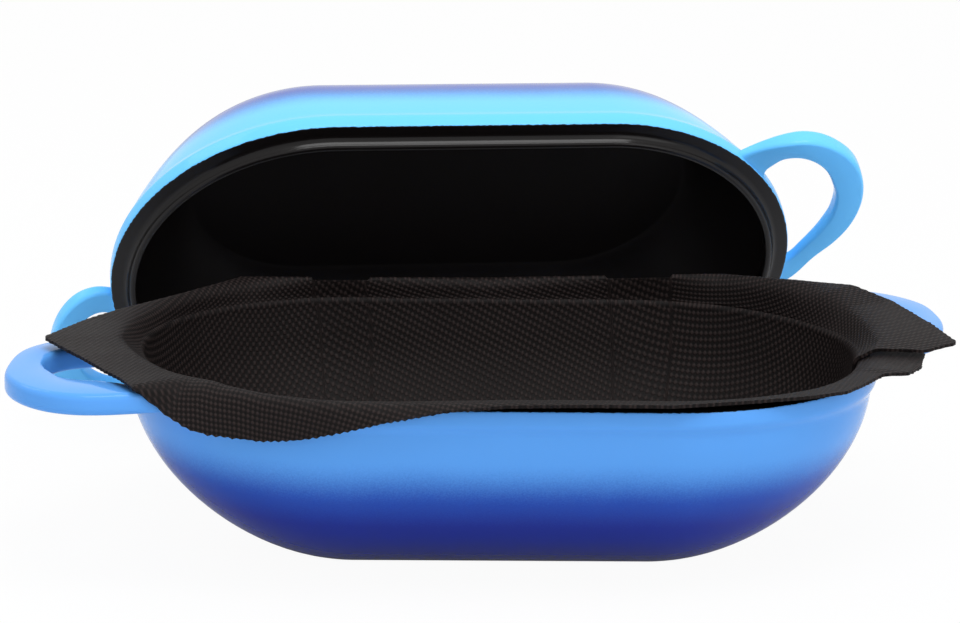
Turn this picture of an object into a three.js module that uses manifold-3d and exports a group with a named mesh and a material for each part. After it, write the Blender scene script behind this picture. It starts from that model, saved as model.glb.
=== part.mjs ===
// Cast-iron loaf pan with a lid and a loose silicone baking liner.
// Millimetres, +Z up. The pan stands on Z = 0 with its foot centred on the origin. X runs along
// the pan and Y runs from its front to its back.
// Both castings are troughs of the same plan: two half rounds joined by straight sides. The lid
// stands behind the pan on the back edge of its rim, leaning forward with its mouth open.
import * as THREE from 'three';
import { mergeVertices } from 'three/addons/utils/BufferGeometryUtils.js';
import Module from 'manifold-3d';

const wasm = await Module();
wasm.setup();

// Plan of both rims.
const rimLength = 280;
const rimWidth = 172;
const rimLand = 6;
const rimBand = 6;
const rimFlare = 2;
const rimEdge = 0.9;

// Castings.
const wall = 5;
const panHeight = 74;
const panFoot = 24;
const panBelly = { low: [53, 65], high: [82, 38] };
const lidHeight = 55;
const lidTop = 50;
const lidShoulder = { low: [60, 55], high: [76, 27.5] };
const lipClearance = 1.2;
const lipWidth = 3;
const lipDrop = 4;

// Loop handles, two to a casting. All four lie about the plane where the rims meet, so that the
// closed lid's loops and the pan's stand side by side and either pair can be gripped alone. The
// roots are sunk below their own rim face, clear of the other casting's rim, and over a short
// stretch each bar rises until it stands proud of the face. On the closed pan the two loops at the
// back start a little further round their ends, so that the front ones can reach the middle.
const loopThickness = 8;
const loopRootThickness = 5;
const loopProud = 3;
const loopSink = 3.5;
const loopRise = 11;
const loopRound = 2;
const panBackLoopSwing = THREE.MathUtils.degToRad(10);

// The lid's stance.
const lidLean = THREE.MathUtils.degToRad(55);
const lidYaw = THREE.MathUtils.degToRad(7);
const lidStandX = -12;
const lidStandY = 146;

// Liner.
const linerThickness = 1.2;
const linerGap = 0.5;
const linerTurn = 2;

// Facets.
const endSteps = 22;
const wallSteps = 10;
const loopSteps = 2;
const linerEndSteps = 16;
const linerSideSteps = 7;

// Values that follow from the sizes above.
const rimRadius = rimWidth / 2;
const halfStraight = (rimLength - rimWidth) / 2;
const mouthRadius = rimRadius - rimLand;
const wallTop = rimBand + rimFlare + 1;

const enamelBlue = new THREE.MeshStandardMaterial({ color: 0x3f8fe0, roughness: 0.22, metalness: 0 });
const enamelSky = new THREE.MeshStandardMaterial({ color: 0x58b4ee, roughness: 0.22, metalness: 0 });
const linerBlack = new THREE.MeshStandardMaterial({ color: 0x17161a, roughness: 0.75, metalness: 0 });

const point = (x, y) => new THREE.Vector2(x, y);

// A bowl's outer wall, from its flat end (foot or top) to just under the flare of the rim. The two
// pulls give the curve its belly.
function wallCurve(flatRadius, height, { low, high }) {
  const start = point(flatRadius, height);
  const end = point(rimRadius - rimFlare, wallTop);
  return new THREE.CubicBezierCurve(start, point(...low), point(...high), end).getPoints(wallSteps);
}

// Moves an open section inwards by a wall's thickness, as shelling does.
function shelled(points, thickness) {
  return points.map((p, i) => {
    const before = points[Math.max(i - 1, 0)];
    const after = points[Math.min(i + 1, points.length - 1)];
    const along = after.clone().sub(before).normalize();
    return point(p.x + along.y * thickness, p.y - along.x * thickness);
  });
}

// Section points are (distance from the plan's spine, depth below the rim face).
const panWall = wallCurve(panFoot, panHeight, panBelly);
const lidWall = wallCurve(lidTop, lidHeight, lidShoulder);

// The flared band that both rims share, from the wall up to the rim face.
const rimSection = [
  point(rimRadius, rimBand),
  point(rimRadius, rimEdge),
  point(rimRadius - rimEdge, 0),
];

const panInside = shelled(panWall, wall).reverse();
const panSection = [
  ...panWall,
  ...rimSection,
  point(mouthRadius + rimEdge, 0),
  point(mouthRadius, rimEdge),
  ...panInside,
];

// The lid's lip drops into the pan's mouth and keeps the lid from sliding.
const lipRadius = mouthRadius - lipClearance;
const lipSection = [
  point(lipRadius, 0),
  point(lipRadius, rimEdge - lipDrop),
  point(lipRadius - rimEdge, -lipDrop),
  point(lipRadius - lipWidth + rimEdge, -lipDrop),
  point(lipRadius - lipWidth, rimEdge - lipDrop),
  point(lipRadius - lipWidth, rimEdge),
];
const lidInside = shelled(lidWall, wall).reverse();
const lidSection = [...lidWall, ...rimSection, ...lipSection, ...lidInside];

// One turn of the plan: stations with a place on the spine and the way out from it.
function planStations(stepsAtEnd, stepsAlongSide) {
  const stations = [];
  for (const end of [1, -1]) {
    for (let i = 0; i <= stepsAtEnd; i += 1) {
      const angle = (end === 1 ? -Math.PI / 2 : Math.PI / 2) + (Math.PI * i) / stepsAtEnd;
      stations.push({ x: end * halfStraight, out: point(Math.cos(angle), Math.sin(angle)) });
    }
    for (let i = 1; i < stepsAlongSide; i += 1) {
      const x = end * halfStraight * (1 - (2 * i) / stepsAlongSide);
      stations.push({ x, out: point(0, end) });
    }
  }
  return stations;
}

// Skins a list of rings, one after another, and closes the first and last with flat caps.
function loft(rings) {
  const count = rings[0].length;
  const positions = rings.flat().flatMap((p) => [p.x, p.y, p.z]);
  const index = [];
  for (let k = 0; k + 1 < rings.length; k += 1) {
    for (let i = 0; i < count; i += 1) {
      const j = (i + 1) % count;
      const [a, b] = [k * count + i, k * count + j];
      index.push(a, b, b + count, a, b + count, a + count);
    }
  }
  const cap = THREE.ShapeUtils.triangulateShape(rings[0].map((p) => point(p.x, p.y)), []);
  const last = (rings.length - 1) * count;
  cap.forEach(([a, b, c]) => index.push(a, c, b, last + a, last + b, last + c));
  const geometry = new THREE.BufferGeometry();
  geometry.setAttribute('position', new THREE.Float32BufferAttribute(positions, 3));
  geometry.setIndex(index);
  return geometry;
}

// A trough: the section carried round the plan, with the rim face on Z = 0 and the bowl below it.
function trough(section) {
  const stations = planStations(endSteps, 1);
  return loft(section.map((p) => stations.map((station) => placed(station, p))));
}

// A section point (distance from the spine, depth) at one station of the plan.
function placed({ x, out }, p) {
  return new THREE.Vector3(x + out.x * p.x, out.y * p.x, -p.y);
}

function toSolid(geometry) {
  const bare = geometry.clone();
  bare.deleteAttribute('normal');
  bare.deleteAttribute('uv');
  const merged = mergeVertices(bare, 1e-4);
  const vertProperties = new Float32Array(merged.attributes.position.array);
  const triVerts = new Uint32Array(merged.index.array);
  return new wasm.Manifold(new wasm.Mesh({ numProp: 3, vertProperties, triVerts }));
}

function toGeometry(solid) {
  const { vertProperties, triVerts } = solid.getMesh();
  const geometry = new THREE.BufferGeometry();
  geometry.setAttribute('position', new THREE.Float32BufferAttribute(vertProperties, 3));
  geometry.setIndex(Array.from(triVerts));
  geometry.computeVertexNormals();
  return geometry;
}

// A loop is a flat bar that springs from the rim's corner, sweeps round and runs back into the
// end. It is drawn at the right-hand back corner, as pairs of points on its outer and inner edges;
// its ends lie inside the rim.
const panLoop = [
  [[106, 63], [121, 49]], [[120, 71.5], [125, 51]], [[133, 76.5], [133.5, 55]],
  [[145, 79], [143.5, 57]], [[155.5, 78.5], [152.5, 56.5]], [[165.5, 73.8], [159.5, 53]],
  [[174.5, 64], [163.5, 45.5]], [[180, 50], [166.5, 38]], [[180, 34], [167, 30]],
  [[177, 17], [164.5, 22]], [[170, 5], [158.5, 14.5]], [[157, -4.5], [149.5, 8.5]],
  [[136.5, -12], [136.5, 4.5]],
];
const lidLoopSweep = [
  [[107.5, 62.5], [119, 51]], [[120, 71], [124, 58.5]], [[128, 75], [128, 64]], [[135, 76.5], [134, 66]],
  [[143, 75], [140.5, 64]], [[151, 70.5], [146.5, 58.5]], [[158, 63.5], [151, 50]], [[163, 53], [153.5, 42]],
];
const lidFrontLoop = [
  ...lidLoopSweep,
  [[165, 41.5], [153.5, 32]], [[163.5, 29.5], [151.5, 24]], [[158.5, 17], [149, 17]],
  [[151.5, 5], [145, 8.5]], [[145, -8], [141, 1]], [[136.5, -17], [136.5, -5]],
];
const lidBackLoop = [
  ...lidLoopSweep,
  [[163, 37], [153, 35]], [[160, 24], [151, 28.5]], [[154, 14.5], [147.5, 24]],
  [[146, 10.5], [142, 22.5]], [[136.5, 11.5], [133.5, 25]],
];

// The distance of a point of the plan from the line between the centres of the two half rounds.
function fromSpine(x, y) {
  return Math.hypot(Math.max(Math.abs(x) - halfStraight, 0), y);
}

// A loop as a flat bar, with its upper face proud of a rim face on Z = 0.
function loopGeometry(pairs) {
  const outer = pairs.map(([p]) => point(...p));
  const inner = pairs.map(([, p]) => point(...p)).reverse();
  const shape = new THREE.Shape();
  shape.moveTo(outer[0].x, outer[0].y);
  shape.splineThru(outer.slice(1));
  shape.lineTo(inner[0].x, inner[0].y);
  shape.splineThru(inner.slice(1));
  shape.closePath();
  return new THREE.ExtrudeGeometry(shape, {
    depth: loopThickness - 2 * loopRound,
    curveSegments: loopSteps,
    bevelSize: loopRound,
    bevelOffset: -loopRound,
    bevelThickness: loopRound,
    bevelSegments: 2,
  }).translate(0, 0, loopProud - loopThickness + loopRound);
}

// A loop's bar, lowered and thinned towards the rim, so that its roots spring from below the rim face.
function loopBar(pairs) {
  const bar = loopGeometry(pairs);
  const position = bar.attributes.position;
  for (let i = 0; i < position.count; i += 1) {
    const clear = fromSpine(position.getX(i), position.getY(i)) - rimRadius;
    const sunk = 1 - THREE.MathUtils.smoothstep(clear, 0, loopRise);
    const belowFace = loopProud - position.getZ(i);
    const thinned = belowFace * (1 - loopRootThickness / loopThickness);
    position.setZ(i, position.getZ(i) - (loopProud + loopSink - thinned) * sunk);
  }
  return bar;
}

// Carries a loop further round its end.
function swung(bar, angle) {
  return bar.translate(-halfStraight, 0, 0).rotateZ(angle).translate(halfStraight, 0, 0);
}

// Joins two loops, the second turned half round, to a trough whose rim face lies on Z = 0.
function withLoops(body, first, second) {
  return toGeometry(toSolid(body).add(toSolid(first)).add(toSolid(second.rotateZ(Math.PI))));
}

function makePan() {
  const backLoop = swung(loopBar(panLoop), panBackLoopSwing);
  const casting = withLoops(trough(panSection), backLoop, loopBar(panLoop));
  const pan = new THREE.Mesh(casting, enamelBlue);
  pan.name = 'base_pan';
  pan.position.z = panHeight;
  return pan;
}

// The lid is turned over to lie closed, rim face down on Z = 0, which brings its loops to the
// other corners, and is then stood on the back of its rim.
function makeLid() {
  const loops = [loopBar(lidFrontLoop), loopBar(lidBackLoop)];
  const casting = withLoops(trough(lidSection), ...loops).rotateX(Math.PI);
  const lid = new THREE.Mesh(casting, enamelSky);
  lid.name = 'lid';
  lid.rotation.set(-lidLean, 0, lidYaw, 'ZYX');
  lid.position.set(lidStandX, lidStandY, rimRadius * Math.sin(lidLean));
  return lid;
}

// The liner's free edge, by distance round the pan's mouth from the middle of the right end,
// towards the back: how far it reaches past the mouth, how far its flap rises over the rim, and
// how far the edge then hangs down.
const linerEdge = [
  { at: -125, reach: 6.5, rise: 0.8, hang: 0 },
  { at: -75, reach: 11, rise: 0.8, hang: 0 },
  { at: -38, reach: 14, rise: 1, hang: 0 },
  { at: -30, reach: 22, rise: 1.5, hang: 0 },
  { at: -16, reach: 23, rise: 3, hang: 0 },
  { at: -7, reach: 35, rise: 5, hang: 0 },
  { at: 8, reach: 29, rise: 6, hang: 0 },
  { at: 30, reach: 25, rise: 9, hang: 0 },
  { at: 42, reach: 17, rise: 13, hang: 0 },
  { at: 60, reach: 6, rise: 13, hang: 0 },
  { at: 90, reach: 5, rise: 11, hang: 0 },
  { at: 180, reach: 3.5, rise: 7, hang: 0 },
  { at: 275, reach: 8, rise: 8, hang: 0 },
  { at: 335, reach: 13, rise: 6, hang: 0 },
  { at: 348, reach: 21, rise: 5, hang: 0 },
  { at: 369, reach: 35, rise: 5, hang: 0 },
  { at: 389, reach: 27, rise: 5, hang: 0 },
  { at: 421, reach: 28, rise: 6, hang: 0 },
  { at: 437, reach: 15.5, rise: 4, hang: 14 },
  { at: 452, reach: 9.5, rise: 1, hang: 13 },
  { at: 475, reach: 8.8, rise: 0.7, hang: 10 },
  { at: 515, reach: 7.5, rise: 0.4, hang: 0 },
];

// A flap from the mouth to its edge: shares of its reach, with its share of the rise and hang.
const flapShape = [
  { reach: 0.2, rise: 0.75, hang: 0 },
  { reach: 0.6, rise: 0.95, hang: 0 },
  { reach: 0.98, rise: 1, hang: 0.25 },
  { reach: 1, rise: 1, hang: 1 },
];

const mouthLength = 2 * Math.PI * mouthRadius + 4 * halfStraight;

// The edge's reach, rise and hang at a distance round the mouth, eased between the stations above.
function edgeAt(distance) {
  const first = linerEdge[0];
  const turned = first.at + THREE.MathUtils.euclideanModulo(distance - first.at, mouthLength);
  const stations = [...linerEdge, { ...first, at: first.at + mouthLength }];
  const k = stations.findIndex((s) => s.at > turned) - 1;
  const [a, b] = [stations[k], stations[k + 1]];
  const t = THREE.MathUtils.smoothstep(turned, a.at, b.at);
  const eased = (name) => THREE.MathUtils.lerp(a[name], b[name], t);
  return { reach: eased('reach'), rise: eased('rise'), hang: eased('hang') };
}

// How far round the mouth a station of the plan lies, in the same measure.
function distanceRound({ x, out }) {
  const turn = THREE.MathUtils.euclideanModulo(Math.atan2(out.y, out.x), 2 * Math.PI);
  const alongBack = turn < Math.PI ? halfStraight - x : 2 * halfStraight;
  const alongFront = turn < Math.PI ? 0 : halfStraight + x;
  return turn * mouthRadius + alongBack + alongFront;
}

// The underside of the liner along one station: down the wall of the pan it lies a gap away from
// the enamel, it turns over the mouth's edge, and its flap runs out to the free edge.
function linerUnderside(station) {
  const { reach, rise, hang } = edgeAt(distanceRound(station));
  const upWall = shelled(panWall, wall + linerGap).filter((p, i) => i % 2 === 0);
  const turnover = [
    point(mouthRadius - linerGap, linerTurn),
    point(mouthRadius - linerGap, 0),
    point(mouthRadius + rimEdge, -linerGap),
  ];
  const flap = flapShape.map((share) => point(
    mouthRadius + share.reach * reach,
    -linerGap - share.rise * rise + share.hang * hang,
  ));
  return [...upWall, ...turnover, ...flap];
}

function makeLiner() {
  const stations = planStations(linerEndSteps, linerSideSteps);
  const undersides = stations.map(linerUnderside);
  const tops = undersides.map((line) => shelled(line, linerThickness));
  const ring = (lines, k) => lines.map((line, i) => placed(stations[i], line[k]));
  const steps = undersides[0].map((_, k) => k);
  const rings = [
    ...steps.map((k) => ring(undersides, k)),
    ...steps.reverse().map((k) => ring(tops, k)),
  ];
  const liner = new THREE.Mesh(loft(rings), linerBlack);
  liner.name = 'silicone_liner';
  liner.position.z = panHeight;
  return liner;
}

const loafPan = new THREE.Group();
loafPan.name = 'loaf_pan';
loafPan.add(makePan(), makeLid(), makeLiner());

export default loafPan;
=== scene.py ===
# %% [markdown]
# # A cast-iron loaf pan with its lid and liner
#
# The object is two enamelled castings and one loose sheet. The pan stands in front, the lid leans
# open behind it, and a black silicone liner lies in the pan with its edges turned over the rim.
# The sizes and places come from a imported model, the frame, which is loaded first and never moved.
# Everything made below is a finer skin for one of its three pieces.

# %% Load the frame
import math

import bpy
import numpy as np
from mathutils import Euler, Matrix, Vector


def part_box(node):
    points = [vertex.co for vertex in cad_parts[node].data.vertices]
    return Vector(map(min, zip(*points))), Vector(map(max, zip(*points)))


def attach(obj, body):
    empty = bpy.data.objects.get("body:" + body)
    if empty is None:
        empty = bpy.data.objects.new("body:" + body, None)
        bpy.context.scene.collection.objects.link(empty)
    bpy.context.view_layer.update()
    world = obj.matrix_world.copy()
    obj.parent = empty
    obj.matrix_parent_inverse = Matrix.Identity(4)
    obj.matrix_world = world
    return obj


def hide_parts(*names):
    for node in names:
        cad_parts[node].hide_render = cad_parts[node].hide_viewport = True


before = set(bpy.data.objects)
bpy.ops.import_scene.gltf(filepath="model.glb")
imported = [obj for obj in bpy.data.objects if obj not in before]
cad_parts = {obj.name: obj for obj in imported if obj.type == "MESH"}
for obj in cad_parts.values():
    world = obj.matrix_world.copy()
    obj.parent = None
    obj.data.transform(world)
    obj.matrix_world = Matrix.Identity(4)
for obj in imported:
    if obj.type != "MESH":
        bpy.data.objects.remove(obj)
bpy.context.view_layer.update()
print("pieces in the frame:", sorted(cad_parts))

# %% [markdown]
# ## Sizes that both castings share
#
# Lengths are written in millimetres, as on a drawing, and turned into metres where they are used.
# The plan of both rims is two half rounds joined by straight sides. How wide it is can be read from
# the frame, and the rest are the drawing's own numbers. Two points nearer than NEAR count as one.

# %% Sizes of the castings
MM = 0.001
RIM_RADIUS = -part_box("base_pan")[0].y / MM
RIM_LENGTH = 280
HALF_STRAIGHT = RIM_LENGTH / 2 - RIM_RADIUS
RIM_LAND = 6
RIM_BAND = 6
RIM_FLARE = 2
FLARE_HEIGHT = 3
MOUTH_RADIUS = RIM_RADIUS - RIM_LAND
WALL_TOP = RIM_BAND + FLARE_HEIGHT
WALL = 5
NEAR = 0.01

PAN_HEIGHT = 74
PAN_FOOT = 24
PAN_BELLY = ((53, 65), (82, 38))
LID_HEIGHT = 55
LID_TOP = 50
LID_SHOULDER = ((60, 55), (76, 27.5))

LIP_CLEARANCE = 1.2
LIP_WIDTH = 3
LIP_DROP = 4
LIP_ROOT = 1
LIP_RADIUS = MOUTH_RADIUS - LIP_CLEARANCE
LIP_INNER = LIP_RADIUS - LIP_WIDTH

LID_LEAN = math.radians(55)
LID_YAW = math.radians(7)
LID_ASIDE = -12
LID_BEHIND = 146
LID_TURN = Euler((-LID_LEAN, 0, LID_YAW))
LID_PLACE = Vector((LID_ASIDE, LID_BEHIND, RIM_RADIUS * math.sin(LID_LEAN))) * MM
print(f"rim {RIM_LENGTH} by {2 * RIM_RADIUS:.0f} mm, mouth {2 * MOUTH_RADIUS:.0f} mm wide")

# %% [markdown]
# ## The camera
#
# A picture of a table-top object is taken from a step away with a long lens, so the pan's two ends
# look almost alike in size. The camera is placed by its distance, its rise above the table, a small
# turn to the left and a slight roll, and its three axes are written straight into its matrix. A
# tracking constraint would do as well, but it can't hold the roll.

# %% Camera
VIEW_DISTANCE = 1.4
VIEW_RISE = math.radians(13.57)
VIEW_TURN = math.radians(-3)
VIEW_ROLL = math.radians(1.22)
VIEW_SLIDE = (-0.0074, 0.0381)
VIEW_AIM = Vector((0, 0, 0.05))
VIEW_LENS = 140.55


def add_camera():
    flat = math.cos(VIEW_RISE)
    back = Vector((math.sin(VIEW_TURN) * flat, -math.cos(VIEW_TURN) * flat, math.sin(VIEW_RISE)))
    level = Vector((math.cos(VIEW_TURN), math.sin(VIEW_TURN), 0))
    upright = back.cross(level)
    right = level * math.cos(VIEW_ROLL) + upright * math.sin(VIEW_ROLL)
    up = upright * math.cos(VIEW_ROLL) - level * math.sin(VIEW_ROLL)
    place = VIEW_AIM + back * VIEW_DISTANCE + right * VIEW_SLIDE[0] + up * VIEW_SLIDE[1]
    bpy.ops.object.camera_add()
    camera = bpy.context.object
    camera.matrix_world = Matrix.Translation(place) @ Matrix((right, up, back)).transposed().to_4x4()
    camera.data.lens = VIEW_LENS
    bpy.context.scene.camera = camera
    return camera


camera = add_camera()
print("camera at", [round(c, 3) for c in camera.matrix_world.translation])

# %% [markdown]
# ## Working in edit mode
#
# An operator acts on everything that is selected, so each step starts from an empty selection.
# These helpers open a piece for editing, pick its points by a test on their place, and close it
# again. Modifiers and places are applied at once, so that every later step sees plain points.


# %% Helpers for edit mode
def select_nothing():
    if bpy.context.object and bpy.context.object.mode != "OBJECT":
        bpy.ops.object.mode_set(mode="OBJECT")
    bpy.ops.object.select_all(action="DESELECT")


def make_active(piece):
    select_nothing()
    piece.select_set(True)
    bpy.context.view_layer.objects.active = piece


def open_whole(piece):
    """Opens the piece with everything selected."""
    make_active(piece)
    bpy.ops.object.mode_set(mode="EDIT")
    bpy.ops.mesh.select_all(action="SELECT")


def close_piece():
    bpy.ops.object.mode_set(mode="OBJECT")


def pick_points(piece, test):
    """Opens the piece with only the points selected whose place passes the test."""
    open_whole(piece)
    bpy.ops.mesh.select_mode(type="VERT")
    bpy.ops.mesh.select_all(action="DESELECT")
    close_piece()
    for v in piece.data.vertices:
        v.select = test(v.co)
    bpy.ops.object.mode_set(mode="EDIT")


def apply_modifier(piece, kind, **settings):
    """Adds a modifier with these settings and applies it at once."""
    make_active(piece)
    modifier = piece.modifiers.new(kind.lower(), kind)
    for name, value in settings.items():
        setattr(modifier, name, value)
    bpy.ops.object.modifier_apply(modifier=modifier.name)


def apply_place(piece):
    make_active(piece)
    bpy.ops.object.transform_apply(location=True, rotation=True, scale=True)


def count_triangles(piece):
    return sum(len(p.vertices) - 2 for p in piece.data.polygons)


# %% [markdown]
# ## The section of a bowl
#
# Each casting is drawn once, as a section: how far its outline is from the middle and how high it
# is above or below the rim face. The outer wall is one curve from the flat foot to the rim, pulled
# out by two handles into a belly. The inner wall is the same curve moved in by the wall's thickness.


# %% Section curves
WALL_STEPS = 24


def wall_curve(flat_radius, height, pulls):
    """The outer wall from the flat end up to the flare of the rim, as (radius, depth) points."""
    flat_edge, under_flare = (flat_radius, height), (RIM_RADIUS - RIM_FLARE, WALL_TOP)
    a, b, c, d = np.array([flat_edge, *pulls, under_flare], float)
    t = np.linspace(0, 1, WALL_STEPS + 1)[:, None]
    rest = 1 - t
    return rest**3 * a + 3 * rest**2 * t * b + 3 * rest * t**2 * c + t**3 * d


def shelled(points, thickness):
    """Moves an open section inwards by a thickness."""
    along = np.gradient(points, axis=0)
    along /= np.linalg.norm(along, axis=1)[:, None]
    return points + thickness * np.stack([along[:, 1], -along[:, 0]], 1)


def bowl_section(outer_wall, mouth):
    """Foot, outer wall, rim and mouth, then down the inner wall, as (radius, height) points."""
    rim = [(RIM_RADIUS, RIM_BAND), (RIM_RADIUS, 0)]
    inner_wall = shelled(outer_wall, WALL)[::-1]
    return [(r * MM, -d * MM) for r, d in [*outer_wall, *rim, *mouth, *inner_wall]]


pan_wall = wall_curve(PAN_FOOT, PAN_HEIGHT, PAN_BELLY)
lid_wall = wall_curve(LID_TOP, LID_HEIGHT, LID_SHOULDER)
pan_section = bowl_section(pan_wall, [(MOUTH_RADIUS, 0)])
lip = [(LIP_RADIUS, 0), (LIP_RADIUS, -LIP_DROP), (LIP_INNER, -LIP_DROP), (LIP_INNER, LIP_ROOT)]
lid_section = bowl_section(lid_wall, lip)
print(len(pan_section), "points in the pan's section,", len(lid_section), "in the lid's")

# %% [markdown]
# ## Turning a bowl and pulling it apart
#
# A trough with round ends can be lofted, but there is a way that is closer to clay: turn a round
# bowl on the wheel, cut it through the middle and pull the halves apart, so that straight sides fill
# the gap. Here a circle is extruded ring by ring up the section, each ring scaled to its radius.
# The rim's sharp edges are then bevelled while the bowl is still round, because there each edge is a
# simple ring, and last the two halves are moved apart.

# %% Turned bowls
TURN_STEPS = 160
ROUND_STEPS = 4
RIM_ROUND = 0.9
FLARE_ROUND = 1.3
LIP_FILLET = 2.8
LIP_ROUND = 1.45


def bevel_rings(bowl, rings, size):
    """Rounds off the edges that run round the bowl at these (radius, height) places, in mm."""
    near = NEAR * MM
    places = [(r * MM, z * MM) for r, z in rings]

    def on_ring(co):
        r = math.hypot(co.x, co.y)
        return any(abs(r - ring) < near and abs(co.z - z) < near for ring, z in places)

    pick_points(bowl, on_ring)
    bpy.ops.mesh.select_mode(type="EDGE")
    bpy.ops.mesh.bevel(offset=size * MM, segments=ROUND_STEPS, affect="EDGES")
    close_piece()


def turned_bowl(name, section):
    select_nothing()
    radius, height = section[0]
    half_step = math.pi / TURN_STEPS
    bpy.ops.mesh.primitive_circle_add(
        vertices=TURN_STEPS, radius=radius, location=(0, 0, height), rotation=(0, 0, half_step)
    )
    bowl = bpy.context.object
    bowl.name = bowl.data.name = name
    apply_place(bowl)
    open_whole(bowl)
    for (r, z), (next_r, next_z) in zip(section, section[1:]):
        bpy.ops.mesh.extrude_edges_move(TRANSFORM_OT_translate={"value": (0, 0, next_z - z)})
        share = next_r / r
        bpy.ops.transform.resize(value=(share, share, 1), center_override=(0, 0, next_z))
    bpy.ops.mesh.select_all(action="SELECT")
    bpy.ops.mesh.fill_holes(sides=0)
    bpy.ops.mesh.normals_make_consistent(inside=False)
    close_piece()
    return bowl


def pull_apart(bowl):
    for side in (1, -1):
        pick_points(bowl, lambda co: co.x * side > 0)
        bpy.ops.transform.translate(value=(side * HALF_STRAIGHT * MM, 0, 0))
        close_piece()


pan = turned_bowl("pan_casting", pan_section)
bevel_rings(pan, [(RIM_RADIUS, 0), (MOUTH_RADIUS, 0)], RIM_ROUND)
bevel_rings(pan, [(RIM_RADIUS, -RIM_BAND), (RIM_RADIUS - RIM_FLARE, -WALL_TOP)], FLARE_ROUND)
pull_apart(pan)
print("pan bowl:", count_triangles(pan), "triangles")

lid = turned_bowl("lid_casting", lid_section)
bevel_rings(lid, [(RIM_RADIUS, 0)], RIM_ROUND)
bevel_rings(lid, [(LIP_RADIUS, 0)], LIP_FILLET)
bevel_rings(lid, [(LIP_RADIUS, LIP_DROP), (LIP_INNER, LIP_DROP)], LIP_ROUND)
bevel_rings(lid, [(RIM_RADIUS, -RIM_BAND), (RIM_RADIUS - RIM_FLARE, -WALL_TOP)], FLARE_ROUND)
pull_apart(lid)
print("lid bowl:", count_triangles(lid), "triangles")

# %% [markdown]
# ## The loop handles
#
# Each casting carries two flat loops at opposite corners. A loop springs from the rim, sweeps round
# and runs back into the end. Its bar is flat and its width changes all the way, so it is drawn as
# pairs of points, one on each edge. A curve object with a bevel would keep one width. Here a small
# rounded rectangle is extruded from pair to pair instead, turned and scaled at each step to span the
# two edges.

# %% Loop outlines, as pairs of outer and inner edge points in mm
PAN_LOOP = [
    ((106, 63), (121, 49)), ((120, 71.5), (125, 51)), ((133, 76.5), (133.5, 55)), ((145, 79), (143.5, 57)),
    ((155.5, 78.5), (152.5, 56.5)), ((165.5, 73.8), (159.5, 53)), ((174.5, 64), (163.5, 45.5)),
    ((180, 50), (166.5, 38)), ((180, 34), (167, 30)), ((177, 17), (164.5, 22)),
    ((170, 5), (158.5, 14.5)), ((157, -4.5), (149.5, 8.5)), ((136.5, -12), (136.5, 4.5)),
]
LID_LOOP_SWEEP = [
    ((107.5, 62.5), (119, 51)), ((120, 71), (124, 58.5)), ((128, 75), (128, 64)), ((135, 76.5), (134, 66)),
    ((143, 75), (140.5, 64)), ((151, 70.5), (146.5, 58.5)), ((158, 63.5), (151, 50)),
    ((163, 53), (153.5, 42)),
]
LID_FRONT_LOOP = [
    *LID_LOOP_SWEEP, ((165, 41.5), (153.5, 32)), ((163.5, 29.5), (151.5, 24)), ((158.5, 17), (149, 17)),
    ((151.5, 5), (145, 8.5)), ((145, -8), (141, 1)), ((136.5, -17), (136.5, -5)),
]
LID_BACK_LOOP = [
    *LID_LOOP_SWEEP, ((163, 37), (153, 35)), ((160, 24), (151, 28.5)), ((154, 14.5), (147.5, 24)),
    ((146, 10.5), (142, 22.5)), ((136.5, 11.5), (133.5, 25)),
]
PAN_BACK_SWING = math.radians(10)
STEPS_BETWEEN = 8


def smooth_pairs(pairs):
    """A Catmull-Rom curve through the pairs, as rows of outer x, y and inner x, y."""
    knots = np.array([[*outer, *inner] for outer, inner in pairs], float)
    padded = np.vstack([2 * knots[0] - knots[1], knots, 2 * knots[-1] - knots[-2]])
    rows = []
    for before, a, b, after in zip(padded, padded[1:], padded[2:], padded[3:]):
        for t in np.arange(STEPS_BETWEEN) / STEPS_BETWEEN:
            rows.append(0.5 * (2 * a + (b - before) * t + (2 * before - 5 * a + 4 * b - after) * t**2
                               + (3 * a - before - 3 * b + after) * t**3))
    return [*rows, knots[-1]]


print(len(smooth_pairs(PAN_LOOP)), "stations on a loop of the pan")

# %% [markdown]
# ## Fillets and sunk roots
#
# Inside the loop, where a finger would find a sharp corner, the bar meets the rim in a fillet: its
# inner edge flares by a quarter round as it comes near. The roots are thinner than the bar and sunk
# below the rim face, so that the two castings can close on each other, and from there the bar rises
# until it stands a little proud.

# %% Loop bars
LOOP_PROUD = 3
LOOP_THICKNESS = 8
LOOP_ROOT_THICKNESS = 5
LOOP_SINK = 1
LOOP_RISE = 26
LOOP_ROUND = 2.6
LOOP_ROUND_STEPS = 5
FILLET = 4


def eased(value, low, high):
    """Rises from 0 to 1 between two values, starting and ending gently."""
    t = min(max((value - low) / (high - low), 0), 1)
    return t * t * (3 - 2 * t)


def from_spine(x, y):
    """How far a point of the plan is from the spine, the line between the two half rounds' centres."""
    return math.hypot(max(abs(x) - HALF_STRAIGHT, 0), y)


def flare(edge):
    """How far the inner edge of the bar moves out at this point for the fillet."""
    inset = FILLET - min(max(from_spine(*edge) - RIM_RADIUS, 0), FILLET)
    return FILLET - math.sqrt(FILLET**2 - inset**2)


def loop_station(row):
    """Centre, heading and width of the bar where it spans one pair of edge points."""
    outer, inner = Vector(row[:2]), Vector(row[2:])
    across = (outer - inner).normalized()
    inner -= across * flare(inner)
    middle = (outer + inner) / 2
    centre = Vector((middle.x, middle.y, LOOP_PROUD - LOOP_THICKNESS / 2)) * MM
    return centre, math.atan2(across.y, across.x), (outer - inner).length * MM


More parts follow.
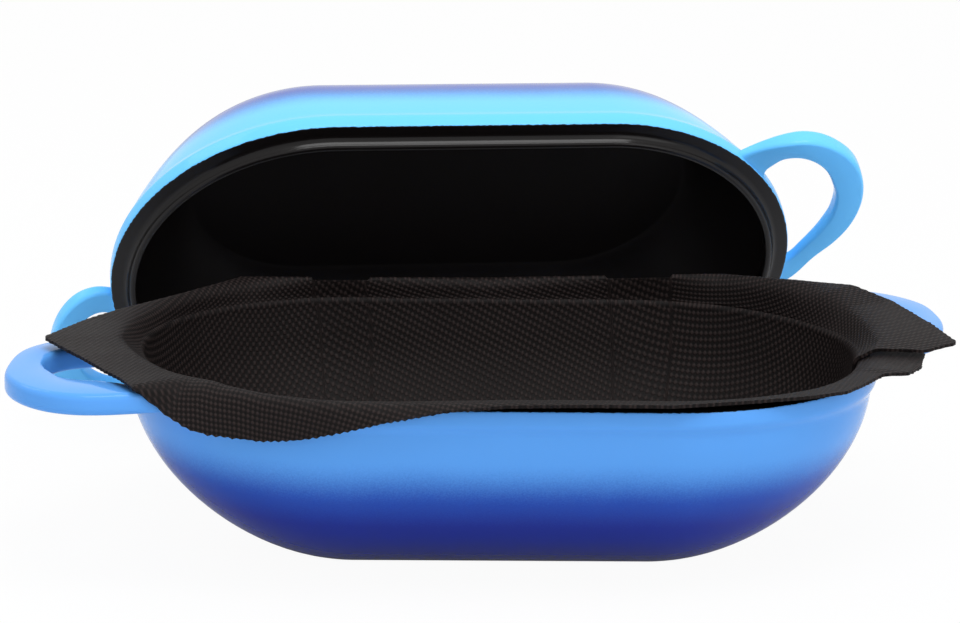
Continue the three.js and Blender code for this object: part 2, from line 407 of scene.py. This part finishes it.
def sink_roots(bar):
    """Lowers and thins the bar by how near each point is to the rim."""
    for v in bar.data.vertices:
        x, y, z = v.co / MM
        sunk = 1 - eased(from_spine(x, y) - RIM_RADIUS, 0, LOOP_RISE)
        thinned = (LOOP_PROUD - z) * (1 - LOOP_ROOT_THICKNESS / LOOP_THICKNESS)
        v.co.z -= (LOOP_PROUD + LOOP_SINK - thinned) * sunk * MM


def loop_bar(name, pairs):
    stations = [loop_station(row) for row in smooth_pairs(pairs)]
    centre, heading, width = stations[0]
    select_nothing()
    bpy.ops.mesh.primitive_plane_add(size=1)
    bar = bpy.context.object
    bar.name = bar.data.name = name
    bar.scale = (width, LOOP_THICKNESS * MM, 1)
    apply_place(bar)
    open_whole(bar)
    bpy.ops.mesh.bevel(offset=LOOP_ROUND * MM, segments=LOOP_ROUND_STEPS, affect="VERTICES")
    bpy.ops.transform.rotate(value=-math.pi / 2, orient_axis="X", center_override=(0, 0, 0))
    bpy.ops.transform.rotate(value=-heading, orient_axis="Z", center_override=(0, 0, 0))
    bpy.ops.transform.translate(value=centre)
    for (c, a, w), (next_c, next_a, next_w) in zip(stations, stations[1:]):
        bpy.ops.mesh.extrude_region_move(TRANSFORM_OT_translate={"value": next_c - c})
        bpy.ops.transform.rotate(value=a, orient_axis="Z", center_override=next_c)
        bpy.ops.transform.resize(value=(next_w / w, 1, 1), center_override=next_c)
        bpy.ops.transform.rotate(value=-next_a, orient_axis="Z", center_override=next_c)
    bpy.ops.mesh.select_all(action="SELECT")
    bpy.ops.mesh.normals_make_consistent(inside=False)
    close_piece()
    sink_roots(bar)
    return bar


# %% [markdown]
# ## Casting the loops on
#
# The first loop of a casting stays at the right-hand end, where it was drawn, and the second is
# turned half round to the left. On the pan they are alike, but the one at the back is swung a little
# further round its end. Both are joined to the bowl with a Boolean union, so that each casting is one
# closed skin with nothing left inside.

# %% Join the loops to the bowls
CASTING_CREASE = math.radians(38)


def turn_piece(piece, angle, centre):
    open_whole(piece)
    bpy.ops.transform.rotate(value=-angle, orient_axis="Z", center_override=centre)
    close_piece()


def cast_on_loops(bowl, first_pairs, second_pairs, swing):
    first = loop_bar(bowl.name + "_loop", first_pairs)
    turn_piece(first, swing, (HALF_STRAIGHT * MM, 0, 0))
    second = loop_bar(bowl.name + "_second_loop", second_pairs)
    turn_piece(second, math.pi, (0, 0, 0))
    for bar in (first, second):
        apply_modifier(bowl, "BOOLEAN", operation="UNION", solver="EXACT", object=bar)
        bpy.data.objects.remove(bar)
    bpy.ops.object.shade_smooth_by_angle(angle=CASTING_CREASE)


cast_on_loops(pan, PAN_LOOP, PAN_LOOP, PAN_BACK_SWING)
cast_on_loops(lid, LID_FRONT_LOOP, LID_BACK_LOOP, 0)
print("with loops: pan", count_triangles(pan), "and lid", count_triangles(lid), "triangles")

# %% [markdown]
# ## Where the black enamel starts
#
# The outside is blue and the inside, with the whole rim face, is black. The two glazes meet on the
# outer edge of the rim, in a line that is never quite straight. Two material slots would give a line
# that is too clean, so each point instead carries a number: how many millimetres it lies past that
# edge, on the black side. The material turns the number into a mask with a ragged border.

# %% The number that divides the glazes
FAR_INSIDE = 20
FACING_UP = 0.7


def mark_inside(casting):
    """Stores the distance past the rim's outer edge at each point: above 0 is black, below 0 blue."""
    values = []
    for v in casting.data.vertices:
        x, y, z = v.co / MM
        r = from_spine(x, y)
        out = Vector((x - math.copysign(min(abs(x), HALF_STRAIGHT), x), y, 0))
        faces_in = v.normal.z > FACING_UP or v.normal.dot(out) < 0
        if r > RIM_RADIUS + NEAR:
            values.append(-FAR_INSIDE)
        elif z > -RIM_ROUND - NEAR:
            values.append(RIM_RADIUS - r + min(z, 0))
        else:
            inside = r < MOUTH_RADIUS + RIM_ROUND and faces_in
            values.append(FAR_INSIDE if inside else -FAR_INSIDE)
    casting.data.attributes.new("past_rim_edge", "FLOAT", "POINT").data.foreach_set("value", values)
    return sum(value > 0 for value in values)


print(mark_inside(pan), "black points on the pan,", mark_inside(lid), "on the lid")

# %% [markdown]
# ## Standing the castings in the frame
#
# Both castings were modelled mouth up with the rim face at height zero. The pan only has to rise to
# its height. The lid is turned over first, which brings its loops to the other two corners, and then
# leans back on the rear edge of its rim. Each place is applied, so the objects stay at the origin.

# %% Place the castings
pan.location.z = PAN_HEIGHT * MM
apply_place(pan)
lid.rotation_euler.x = math.pi
apply_place(lid)
lid.rotation_euler = LID_TURN
lid.location = LID_PLACE
apply_place(lid)
riders = [(pan, "pan", "base_pan", "pan_enamel"), (lid, "cover", "lid", "lid_enamel")]
for casting, body, node, slot in riders:
    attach(casting, body)
    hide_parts(node)
print("lid spans", [round(c, 3) for c in lid.dimensions])

# %% [markdown]
# ## The liner's cut
#
# The liner is a flat sheet of woven glass coated with silicone. It is cut with straight cuts from
# corner to corner, pressed down into the pan, and what stands over the rim is turned outwards. Its
# corners are listed by how far round the mouth they lie from the middle of the right-hand end,
# going towards the back, with how far the edge reaches past the mouth there, how high its flap
# stands over the rim and how far it then hangs. At the right-hand end a slit lets the sheet close
# up: the first corners are the flap on top and the last ones lie under it.

# %% Corners of the cut sheet, in mm
LINER_THICKNESS = 1.2
LINER_GAP = 0.5
LINER_TURN = 2
MOUTH_LENGTH = 2 * math.pi * MOUTH_RADIUS + 4 * HALF_STRAIGHT
SLIT_AT = -14
SLIT_OVERLAP = 8
SHEET_LENGTH = MOUTH_LENGTH + SLIT_OVERLAP
PAST_END = 1
LEFT_TIP_AT = 369

LINER_CORNERS = [
    (SLIT_AT, 23, 3, 0), (-7, 35, 4, 0), (8, 29, 6, 0), (30, 25, 9, 0), (42, 17, 13, 0), (60, 6, 13, 0),
    (90, 5, 11, 0), (180, 3.5, 7, 0), (275, 8, 8, 0), (335, 13, 6, 0), (348, 21, 5, 0),
    (LEFT_TIP_AT, 35, 5, 0), (389, 27, 5, 0), (413, 27, 4, 0), (421, 30.5, 4, 0.5), (423, 26, 4, 4.5),
    (426, 20.5, 4, 10.5), (433, 17.5, 4, 15), (438, 15, 3, 15), (453, 10, 1.5, 14.5), (466, 9, 1, 12.5),
    (476, 9, 0.7, 9.5), (495, 10, 0.8, 4.5), (515, 10.2, 1.5, 1.5), (535, 10.2, 1.9, 0.4),
    (594, 10.2, 2, 0), (640, 10.2, 1.6, 0), (649, 11.5, 1.2, 0), (656, 13.2, 1, 0), (666, 12.2, 1, 0),
    (682, 12, 1, 0), (684, 16, 1.2, 0), (686, 20.2, 1.4, 0.3), (696, 22, 1.6, 0.8), (707, 22, 1.6, 0.8),
    (SLIT_AT + SHEET_LENGTH + PAST_END, 23.5, 1.6, 0.8),
]


def station_at(distance):
    """The point on the spine and the way out from it, at a distance round the mouth."""
    quarter, side = math.pi / 2 * MOUTH_RADIUS, 2 * HALF_STRAIGHT
    d = distance % MOUTH_LENGTH
    if d < quarter:
        x, angle = HALF_STRAIGHT, d / MOUTH_RADIUS
    elif d < quarter + side:
        x, angle = HALF_STRAIGHT - (d - quarter), math.pi / 2
    elif d < 3 * quarter + side:
        x, angle = -HALF_STRAIGHT, (d - side) / MOUTH_RADIUS
    elif d < 3 * quarter + 2 * side:
        x, angle = -HALF_STRAIGHT + (d - 3 * quarter - side), 3 * math.pi / 2
    else:
        x, angle = HALF_STRAIGHT, (d - 2 * side) / MOUTH_RADIUS
    return np.array([x, 0.0]), np.array([math.cos(angle), math.sin(angle)])


def cut_edge(distance):
    """Reach, rise and hang of the cut edge, on the straight cut between the corners on either side."""
    k = max(i for i, corner in enumerate(LINER_CORNERS[:-1]) if corner[0] <= distance)
    (at_a, *a), (at_b, *b) = LINER_CORNERS[k : k + 2]
    ends = []
    for at, reach in ((at_a, a[0]), (at_b, b[0])):
        spine, out = station_at(at)
        ends.append(spine + out * (MOUTH_RADIUS + reach))
    spine, out = station_at(distance)
    cut, start = ends[1] - ends[0], ends[0] - spine
    away = (start[0] * cut[1] - start[1] * cut[0]) / (out[0] * cut[1] - out[1] * cut[0])
    share = min(max((distance - at_a) / (at_b - at_a), 0), 1)
    return away - MOUTH_RADIUS, a[1] + (b[1] - a[1]) * share, a[2] + (b[2] - a[2]) * share


print(f"slit {SLIT_AT} mm round from the right-hand end, left tip {cut_edge(LEFT_TIP_AT)[0]:.0f} mm out")

# %% [markdown]
# ## Draping the sheet
#
# A cloth simulation could drop the sheet into the pan, but a stiff silicone sheet keeps the shape it
# was pressed into, so it is laid by measure. At each place round the pan a path says where pressing
# puts the sheet: up the wall, over the mouth and out along the flap. Cutting its corners twice makes
# the bends soft. Past the rim a flap waves a little, rises to its bend and hangs from there to its
# edge, where every other point is pulled out into a tooth of the ragged cut.

# %% Path of the sheet
FLAP_BEND = RIM_LAND + 1.2
BEND_SHARE = 0.6
EDGE_STRIP = 1
DROOP_SHARE = 0.5
WAVE_SHARE = 0.02
WAVE_RUN = 17
WALL_STRIDE = 4


def soften(path):
    """Cuts the corners of a path, keeping both of its ends."""
    a, b = path[:-1], path[1:]
    pairs = np.stack([0.75 * a + 0.25 * b, 0.25 * a + 0.75 * b], 1).reshape(-1, 2)
    return np.vstack([path[:1], pairs, path[-1:]])


def liner_path(distance):
    """The underside along one column, as (distance from the spine, depth below the rim face)."""
    reach, rise, hang = cut_edge(distance)
    rise += WAVE_SHARE * reach * (1 + math.sin(distance / WAVE_RUN))
    up_wall = shelled(pan_wall, WALL + LINER_GAP)[::WALL_STRIDE]
    inner = MOUTH_RADIUS - LINER_GAP
    turnover = [(inner, LINER_TURN), (inner, 0), (MOUTH_RADIUS + RIM_ROUND, -LINER_GAP)]
    bend = min(BEND_SHARE * reach, FLAP_BEND)
    droop = max(reach - EDGE_STRIP - DROOP_SHARE * hang, (bend + reach) / 2)
    # Each point has its distance past the mouth and its shares of the rise and of the hang.
    shape = [(0.2 * reach, 0.75, 0), (bend, 0.95, 0), (droop, 1, 0.2), (reach, 1, 1)]
    flap = [(MOUTH_RADIUS + r, -LINER_GAP - up * rise + down * hang) for r, up, down in shape]
    return soften(soften(np.vstack([up_wall, turnover, flap])))


print(len(liner_path(0)), "points from the floor to the cut edge")

# %% [markdown]
# ## Laying the sheet
#
# A flat grid becomes the sheet, column by column. The slit starts at a tip on the wall, opens from
# there to the edge, and the flap on top is lifted so that the two layers don't touch. Every point
# also gets a place in the weave, in the UV map: true to scale on the flaps, and drawn together
# inside, where the map has to fit the mouth. The sheet's flat size comes from the lengths of the
# columns, unrolled.

# %% Sheet
LINER_COLUMNS = 600
SLIT_TIP = 0.35
SLIT_OPEN = 0.75
SLIT_LIFT = 1.6
LIFT_RUN = 0.12
LIFT_LENGTH = 45
TOOTH = 0.45
TOOTH_SPREAD = (0.3, 1.5)
TOOTH_SEED = 7


def liner_column(k, draw):
    """A column's path, the way in from it, its lift, and how far out each point is, flat and in the weave."""
    distance = SLIT_AT + SHEET_LENGTH * k / LINER_COLUMNS
    tooth = TOOTH * (k % 2) * draw.uniform(*TOOTH_SPREAD)
    path = liner_path(distance)
    path[-1] += tooth * (path[-1] - path[-2]) / np.linalg.norm(path[-1] - path[-2])
    lift = SLIT_LIFT * (1 - eased(distance - SLIT_AT, 0, LIFT_LENGTH))
    steps = np.linalg.norm(np.diff(path, axis=0), axis=1)
    unrolled = path[0, 0] + np.r_[0, np.cumsum(steps)]
    at_rim = np.interp(MOUTH_RADIUS, path[:, 0], unrolled)
    woven = unrolled + np.minimum(unrolled / at_rim, 1) * (MOUTH_RADIUS - at_rim)
    return path, shelled(path, 1) - path, lift, unrolled, woven


def make_liner():
    rows = len(liner_path(0)) - 1
    select_nothing()
    bpy.ops.mesh.primitive_grid_add(x_subdivisions=LINER_COLUMNS, y_subdivisions=rows, size=1)
    sheet = bpy.context.object
    sheet.name = sheet.data.name = "liner_sheet"
    draw = np.random.default_rng(TOOTH_SEED)
    columns = [liner_column(k, draw) for k in range(LINER_COLUMNS + 1)]
    flat = np.zeros((len(sheet.data.vertices), 2))
    weave = np.zeros_like(flat)
    for v in sheet.data.vertices:
        share = v.co.x + 0.5
        k, row = round(share * LINER_COLUMNS), round((v.co.y + 0.5) * rows)
        path, inwards, lift, unrolled, woven = columns[k]
        opened = eased(row / rows, SLIT_TIP, SLIT_OPEN)
        spine, out = station_at(SLIT_AT + (MOUTH_LENGTH + SLIT_OVERLAP * opened) * share)
        lifted = lift * eased(row / rows, SLIT_TIP, SLIT_TIP + LIFT_RUN)
        r, depth = path[row] + inwards[row] * lifted
        v.co = (*((spine + out * r) * MM), (PAN_HEIGHT - depth) * MM)
        flat[v.index] = (spine + out * unrolled[row]) * MM
        weave[v.index] = (spine + out * woven[row]) * MM
    corners = np.zeros(len(sheet.data.loops), int)
    sheet.data.loops.foreach_get("vertex_index", corners)
    sheet.data.uv_layers[0].data.foreach_set("uv", weave[corners].ravel())
    return sheet, flat


liner, flat = make_liner()

# %% [markdown]
# ## Closing the liner
#
# Below the tip of the slit the grid's first and last columns lie on each other and are merged. The
# hole in the middle, the floor, is filled with one face. Only then does Solidify give the sheet its
# thickness, upwards from the side that lies on the pan, so the normals are checked first. The
# sheet's area, in square metres, is printed with its count of triangles.

# %% Floor and thickness
LINER_CREASE = math.radians(50)


def close_liner(sheet):
    open_whole(sheet)
    bpy.ops.mesh.remove_doubles(threshold=NEAR * MM)
    close_piece()
    floor = min(v.co.z for v in sheet.data.vertices)
    pick_points(sheet, lambda co: co.z < floor + NEAR * MM)
    bpy.ops.mesh.edge_face_add()
    bpy.ops.mesh.select_all(action="SELECT")
    bpy.ops.mesh.normals_make_consistent(inside=False)
    close_piece()
    floor_face = max(sheet.data.polygons, key=lambda p: len(p.vertices))
    if floor_face.normal.z < 0:
        open_whole(sheet)
        bpy.ops.mesh.flip_normals()
        close_piece()
    area = sum(p.area for p in sheet.data.polygons)
    apply_modifier(sheet, "SOLIDIFY", thickness=LINER_THICKNESS * MM, offset=1)
    bpy.ops.object.shade_smooth_by_angle(angle=LINER_CREASE)
    return area


liner_area = close_liner(liner)
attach(liner, "liner")
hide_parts("silicone_liner")
print(f"liner area {liner_area:.4f} square metres, {count_triangles(liner)} triangles")

# %% [markdown]
# ## Placing shader nodes
#
# Materials are built from nodes. One helper places a node, changes its settings and gives each of
# its inputs either a plain value or the output of another node. Short ones after it stand for the
# nodes that are used most. Another turns a colour as it is read on a screen, from 0 to 255, into the
# linear values that shaders use.


# %% Helpers for materials
def place(tree, kind, inputs=None, **settings):
    made = tree.nodes.new(kind)
    for name, value in settings.items():
        setattr(made, name, value)
    for key, value in (inputs or {}).items():
        if isinstance(value, bpy.types.NodeSocket):
            tree.links.new(value, made.inputs[key])
        else:
            made.inputs[key].default_value = value
    return made


def maths(tree, operation, *values):
    return place(tree, "ShaderNodeMath", dict(enumerate(values)), operation=operation).outputs[0]


def ramp(tree, value, low, high):
    """Rises smoothly from 0 to 1 while the value goes from one limit to the other."""
    inputs = {"Value": value, "From Min": low, "From Max": high}
    return place(tree, "ShaderNodeMapRange", inputs, interpolation_type="SMOOTHSTEP").outputs["Result"]


def mixed(tree, share, a, b):
    """A mix of two colours. A Mix node has a set of sockets for each type of value, told by number."""
    return place(tree, "ShaderNodeMix", {0: share, 6: a, 7: b}, data_type="RGBA").outputs[2]


def blended(tree, share, a, b):
    """A mix of two numbers."""
    return place(tree, "ShaderNodeMix", {0: share, 2: a, 3: b}).outputs[0]


def noise(tree, vector, scale, detail=2.0):
    inputs = {"Vector": vector, "Scale": scale, "Detail": detail}
    return place(tree, "ShaderNodeTexNoise", inputs).outputs["Fac"]


def screen_colour(*levels):
    """The linear colour of red, green and blue levels from 0 to 255, by the curve that screens use."""
    shares = [level / 255 for level in levels]
    return (*(s / 12.92 if s < 0.039 else ((s + 0.055) / 1.055) ** 2.4 for s in shares), 1.0)


def new_group(name, inputs, outputs):
    """A shader node group with named sockets, and its two end nodes."""
    group = bpy.data.node_groups.new(name, "ShaderNodeTree")
    for socket, kind in inputs:
        group.interface.new_socket(socket, in_out="INPUT", socket_type=kind)
    for socket, kind in outputs:
        group.interface.new_socket(socket, in_out="OUTPUT", socket_type=kind)
    return group, group.nodes.new("NodeGroupInput"), group.nodes.new("NodeGroupOutput")


def new_material(name):
    material = bpy.data.materials.new(name)
    material.use_nodes = True
    tree = material.node_tree
    return material, tree, tree.nodes["Principled BSDF"]


# %% [markdown]
# ## Sprayed enamel
#
# The blue is sprayed on in two coats. A light sky blue covers everything, and a navy coat is sprayed
# from the flat end, so it fades out towards the rim in a haze of fine drops, by way of a middle blue.
# The fade follows the depth below the rim face, shaken by a fine noise that stands for the drops.
# Fired glass is never quite flat either, so a slow, shallow ripple comes with it. Both castings use
# the same group. A second group, for smudges and grain, serves all three pieces.

# %% Node groups shared by the finishes
SKY = screen_colour(86, 154, 229)
# The lid's light coat is paler than the pan's SKY. This is painted light: the same enamel is made lighter on
# the lid, standing in for the stronger light that falls on its top and loops.
LID_SKY_WITH_PAINTED_LIGHT = screen_colour(104, 194, 255)
MID = screen_colour(31, 73, 168)
NAVY = screen_colour(18, 38, 138)
DROP_SCALE = 1500
DROP_SPREAD = 0.006
CLOUD_SCALE = 28
RIPPLE_SCALE = 70
MID_SPAN = (0.0, 0.65)
NAVY_SPAN = (0.5, 1.1)
SMUDGE_SCALE = 35
SMUDGE_SPAN = (0.4, 0.75)


def sprayed_enamel():
    group, entry, result = new_group(
        "sprayed_enamel",
        [("Vector", "NodeSocketVector"), ("Light Coat", "NodeSocketColor"),
         ("Fade Start", "NodeSocketFloat"), ("Fade End", "NodeSocketFloat")],
        [("Color", "NodeSocketColor"), ("Ripple", "NodeSocketFloat")],
    )
    own = entry.outputs["Vector"]
    height = place(group, "ShaderNodeSeparateXYZ", {0: own}).outputs["Z"]
    depth = maths(group, "ABSOLUTE", height)
    drops = maths(group, "SUBTRACT", noise(group, own, DROP_SCALE, 3.0), 0.5)
    cloud = maths(group, "SUBTRACT", noise(group, own, CLOUD_SCALE), 0.5)
    shaken = maths(group, "MULTIPLY_ADD", drops, DROP_SPREAD, depth)
    shaken = maths(group, "MULTIPLY_ADD", cloud, DROP_SPREAD / 2, shaken)
    inputs = {"Value": shaken, "From Min": entry.outputs["Fade Start"], "From Max": entry.outputs["Fade End"]}
    coat = place(group, "ShaderNodeMapRange", inputs).outputs["Result"]
    first = mixed(group, ramp(group, coat, *MID_SPAN), entry.outputs["Light Coat"], MID)
    colour = mixed(group, ramp(group, coat, *NAVY_SPAN), first, NAVY)
    group.links.new(colour, result.inputs["Color"])
    group.links.new(noise(group, own, RIPPLE_SCALE, 1.0), result.inputs["Ripple"])
    return group


def handled_surface():
    """Smudges and fine grain that every finish takes from being used."""
    group, entry, result = new_group(
        "handled_surface",
        [("Vector", "NodeSocketVector"), ("Grain Scale", "NodeSocketFloat")],
        [("Smudge", "NodeSocketFloat"), ("Grain", "NodeSocketFloat")],
    )
    broad = noise(group, entry.outputs["Vector"], SMUDGE_SCALE, 4.0)
    group.links.new(ramp(group, broad, *SMUDGE_SPAN), result.inputs["Smudge"])
    grain = noise(group, entry.outputs["Vector"], entry.outputs["Grain Scale"], 3.0)
    group.links.new(grain, result.inputs["Grain"])
    return group


ENAMEL = sprayed_enamel()
HANDLED = handled_surface()
print("node groups:", ENAMEL.name, HANDLED.name)

# %% [markdown]
# ## The castings' material
#
# One material holds both glazes of a casting: glossy blue outside, satin black on the rim and matt
# black inside, where the coat is thin. The mask comes from the number stored on the points, shaken by
# noise so that the border is ragged, and the clear coat on top is thick or thin by the same number.
# A Mapping node brings the pattern into the casting's own position, which matters for the leaning
# lid, because its fade has to follow its own depth and not the height above the table. Only the pan
# is drawn darker along its lowest edge, in a thin band at its full depth.

# %% Enamel material
BLACK = screen_colour(11, 9, 9)
BLACK_GRAIN = screen_colour(18, 15, 15)
DARK_LOWEST_EDGE = screen_colour(34, 34, 44)
FOOT_EDGE = (0.0006, 0.0001)
NO_FOOT = 1.0
RAGGED = 0.7
BORDER_SCALE = 420
BORDER_BLUR = 0.12
GLAZE_GRAIN = 1400
BLUE_COAT = 0.17
RIM_COAT = 0.35
INSIDE_COAT = 0.0
DEEP = (0.55 * FAR_INSIDE, 0.75 * FAR_INSIDE)
PAN_FADE = (0.0195, 0.049)
LID_FADE = (0.019, 0.054)


def enamel_material(name, place_of_rim, turn, sky, fade, foot_depth):
    material, tree, shader = new_material(name)
    coordinates = place(tree, "ShaderNodeTexCoord").outputs["Object"]
    inputs = {"Vector": coordinates, "Location": place_of_rim, "Rotation": turn}
    own = place(tree, "ShaderNodeMapping", inputs, vector_type="TEXTURE").outputs["Vector"]
    inputs = {"Vector": own, "Light Coat": sky, "Fade Start": fade[0], "Fade End": fade[1]}
    blue = place(tree, "ShaderNodeGroup", inputs, node_tree=ENAMEL)
    used = place(tree, "ShaderNodeGroup", {"Vector": own, "Grain Scale": GLAZE_GRAIN}, node_tree=HANDLED)

    past = place(tree, "ShaderNodeAttribute", attribute_name="past_rim_edge").outputs["Fac"]
    shake = maths(tree, "SUBTRACT", noise(tree, own, BORDER_SCALE, 3.0), 0.5)
    shaken = maths(tree, "MULTIPLY_ADD", shake, 2 * RAGGED, past)
    black_share = ramp(tree, shaken, -BORDER_BLUR, BORDER_BLUR)
    black = mixed(tree, used.outputs["Grain"], BLACK, BLACK_GRAIN)
    height = place(tree, "ShaderNodeSeparateXYZ", {0: own}).outputs["Z"]
    foot = ramp(tree, maths(tree, "ABSOLUTE", height), *(foot_depth - edge for edge in FOOT_EDGE))
    # The pan's lowest edge is drawn in a darker colour, in a thin band at its full depth.
    outside = mixed(tree, foot, blue.outputs["Color"], DARK_LOWEST_EDGE)
    tree.links.new(mixed(tree, black_share, outside, black), shader.inputs["Base Color"])

    gloss = maths(tree, "MULTIPLY_ADD", used.outputs["Smudge"], 0.06, 0.1)
    satin = maths(tree, "MULTIPLY_ADD", used.outputs["Smudge"], 0.1, 0.36)
    tree.links.new(blended(tree, black_share, gloss, satin), shader.inputs["Roughness"])

    coat = blended(tree, black_share, BLUE_COAT, RIM_COAT)
    coat = blended(tree, ramp(tree, past, *DEEP), coat, INSIDE_COAT)
    tree.links.new(coat, shader.inputs["Coat Weight"])
    shader.inputs["Coat Roughness"].default_value = 0.14
    shader.inputs["Specular IOR Level"].default_value = 0.06

    grain = maths(tree, "MULTIPLY", used.outputs["Grain"], black_share)
    relief = maths(tree, "MULTIPLY_ADD", grain, 0.12, blue.outputs["Ripple"])
    bump = place(tree, "ShaderNodeBump", {"Height": relief, "Strength": 0.35, "Distance": 0.0003})
    tree.links.new(bump.outputs["Normal"], shader.inputs["Normal"])
    return material


pan_rim = Vector((0, 0, PAN_HEIGHT)) * MM
pan.data.materials.append(enamel_material("pan_glaze", pan_rim, Euler(), SKY, PAN_FADE, PAN_HEIGHT * MM))
# The lid takes the paler light coat, which is painted light for the brighter light on the lid.
lid.data.materials.append(enamel_material("lid_glaze", LID_PLACE, LID_TURN, LID_SKY_WITH_PAINTED_LIGHT, LID_FADE, NO_FOOT))
print("glazes:", pan.data.materials[0].name, lid.data.materials[0].name)

# %% [markdown]
# ## Woven silicone
#
# Up close the liner is a mesh of coated threads that pass over and under each other, with a tiny
# hole between them. The weave is drawn in the UV map, which holds each point's place in it, and it is
# turned because such sheets are cut at a slant. The product of two waves is a chequer of bumps and
# hollows: the bumps are threads on top, the hollows are holes.

# %% Liner material
WEAVE_PERIOD = 0.0025
WEAVE_TURN = math.radians(-25)
THREAD = screen_colour(41, 33, 32)
THREAD_SPAN = (-0.3, 0.9)
COATING = screen_colour(14, 10, 10)
HOLE = screen_colour(6, 5, 5)
HOLE_SPAN = (-0.6, -0.95)
LINER_GRAIN = 700


def liner_material():
    material, tree, shader = new_material("woven_silicone")
    own = place(tree, "ShaderNodeTexCoord").outputs["Object"]
    in_weave = place(tree, "ShaderNodeUVMap", uv_map=liner.data.uv_layers[0].name).outputs["UV"]
    used = place(tree, "ShaderNodeGroup", {"Vector": own, "Grain Scale": LINER_GRAIN}, node_tree=HANDLED)
    turned = place(tree, "ShaderNodeMapping", {"Vector": in_weave, "Rotation": (0, 0, WEAVE_TURN)})
    split = place(tree, "ShaderNodeSeparateXYZ", {0: turned.outputs["Vector"]})
    waves = []
    for axis in ("X", "Y"):
        phase = maths(tree, "MULTIPLY", split.outputs[axis], 2 * math.pi / WEAVE_PERIOD)
        waves.append(maths(tree, "SINE", phase))
    weave = maths(tree, "MULTIPLY", *waves)
    thread = ramp(tree, weave, *THREAD_SPAN)
    hole = ramp(tree, weave, *HOLE_SPAN)
    cloth = mixed(tree, thread, COATING, THREAD)
    worn = mixed(tree, maths(tree, "MULTIPLY", used.outputs["Smudge"], 0.35), cloth, COATING)
    tree.links.new(mixed(tree, hole, worn, HOLE), shader.inputs["Base Color"])
    tree.links.new(maths(tree, "MULTIPLY_ADD", used.outputs["Grain"], 0.2, 0.45), shader.inputs["Roughness"])
    shader.inputs["Specular IOR Level"].default_value = 0.1
    relief = maths(tree, "MULTIPLY_ADD", used.outputs["Grain"], 0.2, thread)
    bump = place(tree, "ShaderNodeBump", {"Height": relief, "Strength": 0.6, "Distance": 0.0004})
    tree.links.new(bump.outputs["Normal"], shader.inputs["Normal"])
    return material


liner.data.materials.append(liner_material())
print("liner weave of", WEAVE_PERIOD, "m")

# %% [markdown]
# ## Floor, background and light
#
# The object stands on a plain white table in a room of soft light. Large lamps give the broad, soft
# highlights that a light tent gives. The floor is a pale matt surface that keeps the shadow. Rays
# from the camera and from gloss also see some plain white in it and in the world, so the background
# goes white without putting more light on the object.

# %% Stage
FLOOR_SIZE = 8
FLOOR_COLOUR = screen_colour(228, 228, 230)
FLOOR_WHITE = 0.95
GLOSS_WHITE = 0.05
WHITE = (1, 1, 1, 1)
AMBIENT = 0.85
OBJECT_MIDDLE = (0, 0.05, 0.06)


def background_rays(tree, in_gloss=1.0):
    """1 for the rays that see the background directly or through glass, and a share for those in gloss."""
    path = place(tree, "ShaderNodeLightPath")
    gloss = maths(tree, "MULTIPLY", path.outputs["Is Glossy Ray"], in_gloss)
    seen = maths(tree, "MAXIMUM", path.outputs["Is Camera Ray"], gloss)
    return maths(tree, "MAXIMUM", seen, path.outputs["Is Transmission Ray"])


def add_floor():
    select_nothing()
    bpy.ops.mesh.primitive_plane_add(size=FLOOR_SIZE)
    floor = bpy.context.object
    floor.name = "floor"
    material, tree, shader = new_material("white_table")
    shader.inputs["Base Color"].default_value = FLOOR_COLOUR
    shader.inputs["Roughness"].default_value = 0.9
    shader.inputs["Specular IOR Level"].default_value = 0.1
    plain = place(tree, "ShaderNodeEmission", {"Color": WHITE, "Strength": 1.0})
    share = maths(tree, "MULTIPLY", background_rays(tree, GLOSS_WHITE), FLOOR_WHITE)
    both = place(tree, "ShaderNodeMixShader", {0: share, 1: shader.outputs[0], 2: plain.outputs[0]})
    tree.links.new(both.outputs[0], tree.nodes["Material Output"].inputs["Surface"])
    floor.data.materials.append(material)


def add_lamp(name, place_at, size, power):
    """A softbox, that is a lamp with an area, aimed at the middle of the object."""
    bpy.ops.object.light_add(type="AREA", location=place_at)
    lamp = bpy.context.object
    lamp.name = name
    lamp.data.shape = "RECTANGLE"
    lamp.data.size, lamp.data.size_y = size
    lamp.data.energy = power
    aim = Vector(OBJECT_MIDDLE) - Vector(place_at)
    lamp.rotation_euler = aim.to_track_quat("-Z", "Y").to_euler()


def add_world():
    world = bpy.data.worlds.new("light_tent")
    bpy.context.scene.world = world
    world.use_nodes = True
    tree = world.node_tree
    strength = blended(tree, background_rays(tree), AMBIENT, 1.0)
    tree.links.new(strength, tree.nodes["Background"].inputs["Strength"])
    tree.nodes["Background"].inputs["Color"].default_value = WHITE


add_floor()
add_world()
add_lamp("top_softbox", place_at=(0.15, -0.45, 1.2), size=(0.9, 0.5), power=9)
add_lamp("front_right_softbox", place_at=(0.9, -1.1, 0.4), size=(0.7, 0.9), power=2.5)
add_lamp("left_softbox", place_at=(-0.9, 0.5, 1.0), size=(0.6, 0.6), power=2)
bpy.context.scene.view_settings.view_transform = "Standard"
